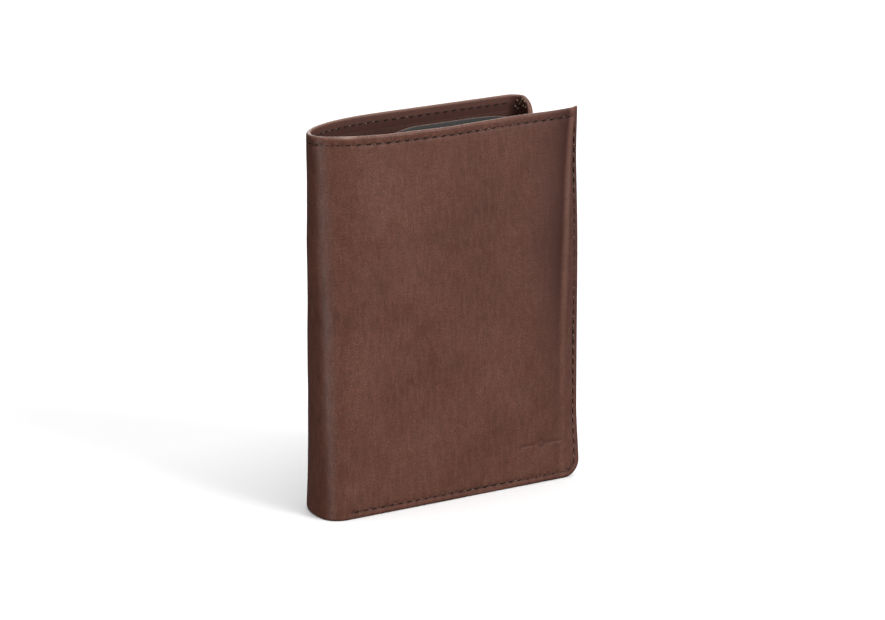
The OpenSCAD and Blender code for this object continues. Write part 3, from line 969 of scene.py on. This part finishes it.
# Painted glints: pale thread loops between the stitches on the cover's edge, foot and rim, and inside the
# back's rim.
PAINTED_GLINTS = [
    ("edge", glint_loops(FRONT_STITCHES[AT_FOOT:], 0.75, seed=3), 0.17, 0.8, COVER_LOOPS),
    ("bottom", glint_loops(FRONT_STITCHES[:AT_FOOT], 0.35, seed=8), 0.13, 0.7, COVER_LOOPS),
    ("rim", glint_loops(FRONT_RIM, 0.4, seed=5), 0.13, 0.7, COVER_LOOPS),
    ("inside", glint_loops(BACK_RIM, 0.6, seed=6), 0.14, 0.8, BACK_LOOPS),
]
for part, loops, radius, length, place in PAINTED_GLINTS:
    sewn(f"stitches_glint_{part}", [], loops, radius=radius, length=length, material=THREAD_END_AND_GLINT, **place)
low_cuts = SHELL.row(SEAM_BOTTOM)[2]
sewn("stitches_back_bottom_near", ["stitches_back_bottom"],
     in_row(SEAM_BOTTOM, low_cuts[2] + 6, low_cuts[3]), THREAD_SUNK, BACK_BEND)
sewn("stitches_back_bottom_far", [], in_row(SEAM_BOTTOM, low_cuts[3], low_cuts[3] + FOLD_RUN),
     THREAD_SUNK, EDGE_BEND)
sewn("stitches_flap_edge", ["stitches_flap"], on_seam(FLAP_SEAM), THREAD_SUNK, FLAP_BEND)


# ---------- fabric lining and leather facing inside the shell ----------

def flat_size(obj):
    """Width, length and area, in metres, of the cut that a thin closed mesh was made from."""
    mesh = obj.data
    uv = np.zeros(len(mesh.loops) * 2)
    mesh.uv_layers[0].data.foreach_get("uv", uv)
    uv = uv.reshape(-1, 2) / 10
    width, length = uv.max(0) - uv.min(0)
    area = sum(p.area for p in mesh.polygons) / 2
    width = max(width, area / length * 1.0005)
    return (width, length), area


def cloth(obj):
    flat, area = flat_size(obj)
    min(area, flat[0] * flat[1])
    return obj


COARSE = 1.6
SEWN_IN = 4.8
FACING_LOW = HEIGHT - 15.0
LINING_TOP = FACING_LOW + 1.0
FACING_TOP = HEIGHT - SEWN_IN
INSIDE = [
    ("front", between(0, 1, after=SEWN_IN), COVER_BEND, dict(round_start=True)),
    ("spine", between(1, 2), SPINE_BEND, {}),
    ("back", between(2, 3), BACK_BEND, {}),
    ("edge", between(3, 4), EDGE_BEND, {}),
    ("flap", between(4, 5, before=SEWN_IN), FLAP_BEND, dict(round_end=True)),
]
LINED = {"front": ["lining_front"], "spine": ["lining_spine"], "back": ["lining_bend", "lining_back"],
         "edge": ["lining_fold"], "flap": ["lining_flap"]}
FACED = {"front": ["facing_front"], "spine": ["facing_spine"], "back": ["facing_bend", "facing_back"],
         "edge": [], "flap": []}


def inside_shell(name, step, foot, top, flap_foot, thickness, slot, cad):
    """Five pieces along the inside of the shell, between the heights foot and top."""
    pieces = {}
    for part, span, how, ends in INSIDE:
        layer = Layer(SHELL, span, step, z_foot=foot, z_top=top, **ends)
        if part in ("edge", "flap"):
            layer.slope_to_flap(flap_foot, top - FLAP_STEP)
        push = curl(layer.s, layer.z) if part == "front" else None
        pieces[part] = make_sheet(f"{name}_{part}", layer, UNDER_LEATHER, thickness, how, slot, push=push)
        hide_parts(*cad[part])
    return pieces


linings = inside_shell("shell_lining", COARSE, SEWN_IN, LINING_TOP, FLAP_FOOT + SEWN_IN, LINING,
                       "lining", LINED)
for part, piece in linings.items():
    cloth(piece)
inside_shell("leather_facing", COARSE / 2, FACING_LOW, FACING_TOP, FACING_LOW - FLAP_STEP, FACING,
             "inner_leather", FACED)


# ---------- wall between the notes and the cards ----------

def wall_front(z):
    """At its top the wall stands further back from the front cover than at its sewn foot."""
    return Y_FRONT + 2.8 + WALL_LEAN * (z / HEIGHT) ** 1.3


class WallOutline(Outline):
    def sway(self, x, y, t):
        """The wall comes forward again to the fore edge, where it is sewn to the cover."""
        return -WALL_LEAN * t ** 1.3 * ease((x - 20) / 21) * (y < 0)


WALL_LEAN = 6.1
WALL_HIGH = HEIGHT - 0.8
WALL_CUT = -2.5
WALL_STEP = WALL_HIGH - corners("note_wall_back")[1][2] + 3.0
WALL = WallOutline(
    foot=(X_SPINE + 6.1, Y_FRONT + 6.2, 2.6, 2.0, 16.0),
    top=(X_SPINE + 6.1, Y_FRONT + 13.0, 2.6, 2.0, 30.0),
    y_front=wall_front,
    y_back=constant(Y_BACK - 4.0),
    x_start=SLOT_HIGH[0],
    with_flap=False,
)
WALL.spine_cut = WALL_CUT
WALL_COVER = ("front_cover", "spine", plan(-38, -11), plan(-42.6, -4.2))
WALL_SPINE = ("spine", "spine_bend", plan(-42.6, -2), plan(-39.0, 5.5))


def dip_wall(layer):
    """The wall's top edge stands highest across its front, and lower at the fore edge, spine and back."""
    x, y = layer.xy[:, -1, 0], layer.xy[:, -1, 1]
    front = y < -4.0
    fore = 4.0 * np.clip((x - 10) / 30, 0, 1) ** 2.4
    dip = np.where(front, fore + WALL_STEP * ease((-8 - x) / 31), WALL_STEP)
    layer.set_heights(layer.low, layer.high - dip)


WALL_FOOT = 3.0
WALL_CLOTH = 0.3
WALL_LEATHER = 0.9
WALLED = [
    ("front", between(0, 1), WALL_COVER, ["note_wall_front"], dict(round_start=True)),
    ("spine", between(1, 2), WALL_SPINE, ["note_wall_spine"], {}),
    ("back", between(2, 3), BACK_BEND, ["note_wall_bend", "note_wall_back"], dict(round_end=True)),
]
for part, span, how, cad, ends in WALLED:
    layer = Layer(WALL, span, 1.0, z_foot=WALL_FOOT, z_top=WALL_HIGH, **ends)
    dip_wall(layer)
    make_sheet(f"note_wall_leather_{part}", layer, WALL_CLOTH, WALL_LEATHER, how,
                            "inner_leather")
    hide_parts(*cad)
    layer = Layer(WALL, span, COARSE, z_foot=WALL_FOOT, z_top=WALL_HIGH, **ends)
    dip_wall(layer)
    piece = make_sheet(f"note_wall_lining_{part}", layer, 0.0, WALL_CLOTH, how, "lining",
                       sink=lambda s, z: 0.3 * undulation(s, z))
    if part == "back":
        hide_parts("wall_lining_back")
    cloth(piece)


# ---------- card slots and pockets ----------

def mouth_crease(top, drop=2.0):
    """A heated line pressed along the mouth of a slot."""
    return lambda s, z: 0.13 * np.exp(-((z - (top - drop)) / 0.28) ** 2)


SLOT_T, POCKET_T = 0.65, 0.7
ON_WALL = 1.2
CARD_STEP = 1.1
SLOT_RUN = SLOT_HIGH[0] - SLOT_LOW[0]
for k in range(4):
    low, high = corners(f"card_slot_{k + 1}")
    layer = Layer(WALL, lambda cuts: (0.0, SLOT_RUN), CARD_STEP, True, True, z_foot=low[2], z_top=high[2])
    piece = make_sheet(f"card_slot_leather_{k + 1}", layer, ON_WALL + SLOT_T * k, SLOT_T, WALL_COVER,
                       "inner_leather", uv_offset=0.37 * (k + 1), crease_inside=mouth_crease(high[2]))
    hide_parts(f"card_slot_{k + 1}")
WALL_END = X_FOLD - FOLD_R
for k in range(3):
    low, high = corners(f"pocket_{k + 1}")
    right, left = WALL_END - high[0], WALL_END - low[0]
    layer = Layer(WALL, lambda cuts: (cuts[-1] - left, cuts[-1] - right), CARD_STEP, True, True,
                  z_foot=low[2], z_top=high[2])
    piece = make_sheet(f"pocket_leather_{k + 1}", layer, ON_WALL + POCKET_T * k, POCKET_T, BACK_BEND,
                       "inner_leather", uv_offset=2.1 + 0.41 * k, crease_inside=mouth_crease(high[2]))
    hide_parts(f"pocket_{k + 1}")

SIDE_IN = 1.6
MOUTH_IN = 1.5


def u_seam(left, right, foot, top):
    """Down one side, along the foot and up the other side."""
    return Seam([(left, top), (left, foot), (right, foot), (right, top)])


sewn("stitches_slots", ["stitches_card_slots"],
     on_seam(u_seam(SIDE_IN, SLOT_RUN - SIDE_IN, SLOT_LOW[2] + SIDE_IN,
                    SLOT_HIGH[2] - MOUTH_IN)),
     ON_WALL + 4 * SLOT_T, WALL_COVER, outline=WALL, inner=True)
low, high = corners("pocket_3")
sewn("stitches_pocket_edges", ["stitches_pockets"],
     on_seam(u_seam(-(WALL_END - low[0] - SIDE_IN), -(WALL_END - high[0] + SIDE_IN), low[2] + SIDE_IN,
                    high[2] - MOUTH_IN)),
     ON_WALL + 3 * POCKET_T, BACK_BEND, outline=WALL, inner=True)


# ---------- window on the flap ----------

def ring_frame(name, node, window, body, rounding=0.35):
    """A flat frame with rounded edges and corners around a window."""
    low, high = corners(node)
    hole_low, hole_high = corners(window)
    hole_low, hole_high = hole_low + (0.6, 0, 0.6), hole_high - (0.6, 0, 0.6)
    front, back = low[1] + rounding, high[1] - rounding
    up, down = (30, 60, 90), (90, 60, 30)

    def round_edge(side, y, way, angles):
        """Points round one edge of the frame's section: how far across the frame, and Y."""
        for a in np.radians(angles):
            inset = rounding * (1 - math.cos(a))
            yield (1 - inset if side else inset), y + way * rounding * math.sin(a)

    section = [(0, front), (0, back), *round_edge(0, back, 1, up), *round_edge(1, back, 1, down),
               (1, back), (1, front), *round_edge(1, front, -1, up), *round_edge(0, front, -1, down)]

    def loop(a, b, r, n=6, m=24):
        """Rounded rectangle in X and Z."""
        out = []
        quarter = [((b[0] - r, b[2] - r), 0), ((a[0] + r, b[2] - r), 90), ((a[0] + r, a[2] + r), 180),
                   ((b[0] - r, a[2] + r), 270)]
        for (cx, cz), start in quarter:
            out += [(cx + r * math.cos(math.radians(start + 90 * i / n)),
                     cz + r * math.sin(math.radians(start + 90 * i / n))) for i in range(n + 1)]
        full = []
        for i, p in enumerate(out):
            q = out[(i + 1) % len(out)]
            steps = m if math.dist(p, q) > 10 else 1
            full += [(mix(p[0], q[0], j / steps), mix(p[1], q[1], j / steps)) for j in range(steps)]
        return np.array(full)

    outside, inside = loop(low, high, 4.0), loop(hole_low, hole_high, 2.5)
    n, m = len(outside), len(section)
    points, uvs = [], []
    for i in range(n):
        width = math.dist(outside[i], inside[i])
        for share, y in section:
            share = share if share in (0, 1) else (share / width if share < 0.5 else 1 - (1 - share) / width)
            x, z = mix(outside[i], inside[i], share)
            points.append((x, y, z))
            uvs.append((x / 100 + 3.3, z / 100))
    faces = []
    for i in range(n):
        for j in range(m):
            a, b = i * m + j, i * m + (j + 1) % m
            c, d = ((i + 1) % n) * m + (j + 1) % m, ((i + 1) % n) * m + j
            faces.append([a, b, c, d])
    obj = mesh_object(name, np.array(points) * MM, np.array(faces), np.array(uvs))
    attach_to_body(obj, body)
    obj.data.materials.append(INNER)
    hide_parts(node)
    return obj


ring_frame("window_frame_leather", "window_frame", "clear_window", "flap")
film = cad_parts["clear_window"]
film.data.materials.clear()
film.data.materials.append(FILM)


# ---------- camera, light and floor ----------

CAMERA_AZIMUTH, CAMERA_ELEVATION, CAMERA_DISTANCE = -34.994, 14.018, 1.5
LENS = 188.8
ROOM_LIGHT = 0.06
MIDDLE = (0.0, 0.0, 0.06)


def make_camera():
    """Stands off to the spine's side and a little above, with a long lens."""
    azimuth, elevation = math.radians(CAMERA_AZIMUTH), math.radians(CAMERA_ELEVATION)
    aim = Vector((X_SPINE + 43.34, Y_FRONT, 64.68)) * MM
    back = Vector((math.sin(azimuth) * math.cos(elevation), -math.cos(azimuth) * math.cos(elevation),
                   math.sin(elevation)))
    data = bpy.data.cameras.new("camera")
    data.lens = LENS
    data.sensor_width = 36.0
    camera = bpy.data.objects.new("camera", data)
    camera.location = aim + back * CAMERA_DISTANCE
    camera.rotation_mode = "QUATERNION"
    camera.rotation_quaternion = (-back).to_track_quat("-Z", "Y")
    bpy.context.scene.collection.objects.link(camera)
    bpy.context.scene.camera = camera


def area_light(name, place, aim, size, energy):
    data = bpy.data.lights.new(name, "AREA")
    data.shape = "RECTANGLE"
    data.size, data.size_y = size
    data.energy = energy
    light = bpy.data.objects.new(name, data)
    light.location = Vector(place)
    light.rotation_mode = "QUATERNION"
    light.rotation_quaternion = (Vector(place) - Vector(aim)).to_track_quat("Z", "Y")
    bpy.context.scene.collection.objects.link(light)
    return data


def make_stage():
    """A floor and a white world. The world shows to the camera at full strength and lights dimly."""
    mesh = bpy.data.meshes.new("floor")
    size = 6.0
    square = [(-size, -size, 0), (size, -size, 0), (size, size, 0), (-size, size, 0)]
    mesh.from_pydata(square, [], [(0, 1, 2, 3)])
    floor = bpy.data.objects.new("floor", mesh)
    bpy.context.scene.collection.objects.link(floor)
    n = Nodes("floor_paint")
    speck = n.add("ShaderNodeTexNoise", {"Scale": 40.0, "Detail": 2.0}).outputs[0]
    paint = n.blend(n.span(speck, 0.3, 0.7), rgb(0.90, 0.90, 0.90), rgb(0.92, 0.92, 0.92))
    n.set(Base_Color=paint, Roughness=0.9)
    mesh.materials.append(n.material)
    floor.visible_diffuse = False
    floor.visible_glossy = False
    floor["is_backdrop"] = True
    world = bpy.data.worlds.new("studio")
    world.use_nodes = True
    tree = world.node_tree
    room = tree.nodes["Background"]
    room.inputs["Color"].default_value = (1, 1, 1, 1)
    room.inputs["Strength"].default_value = ROOM_LIGHT
    seen = tree.nodes.new("ShaderNodeBackground")
    seen.inputs["Strength"].default_value = 1.0
    path = tree.nodes.new("ShaderNodeLightPath")
    choose = tree.nodes.new("ShaderNodeMixShader")
    tree.links.new(path.outputs["Is Camera Ray"], choose.inputs[0])
    tree.links.new(room.outputs[0], choose.inputs[1])
    tree.links.new(seen.outputs[0], choose.inputs[2])
    seen.inputs["Color"].default_value = (1, 1, 1, 1)
    tree.links.new(choose.outputs[0], tree.nodes["World Output"].inputs["Surface"])
    bpy.context.scene.world = world
    bpy.context.scene.view_settings.view_transform = "Standard"


make_camera()
make_stage()
area_light("key", (0.46, -1.26, 0.72), MIDDLE, (0.8, 0.8), 21.0)
area_light("overhead", (0.0, -0.1, 1.7), MIDDLE, (1.6, 1.6), 30.0)
area_light("low_left", (-0.95, -0.30, 0.12), MIDDLE, (0.22, 0.30), 3.3)
area_light("low_right", (1.05, -0.42, 0.12), MIDDLE, (0.15, 0.24), 1.8).use_shadow = False
area_light("foot_glow", (-0.19, -0.09, 0.01), (-0.04, -0.01, 0.02), (0.10, 0.04), 0.05)
area_light("back", (0.7, 1.2, 0.7), MIDDLE, (0.7, 0.7), 8.0)

low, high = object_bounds()
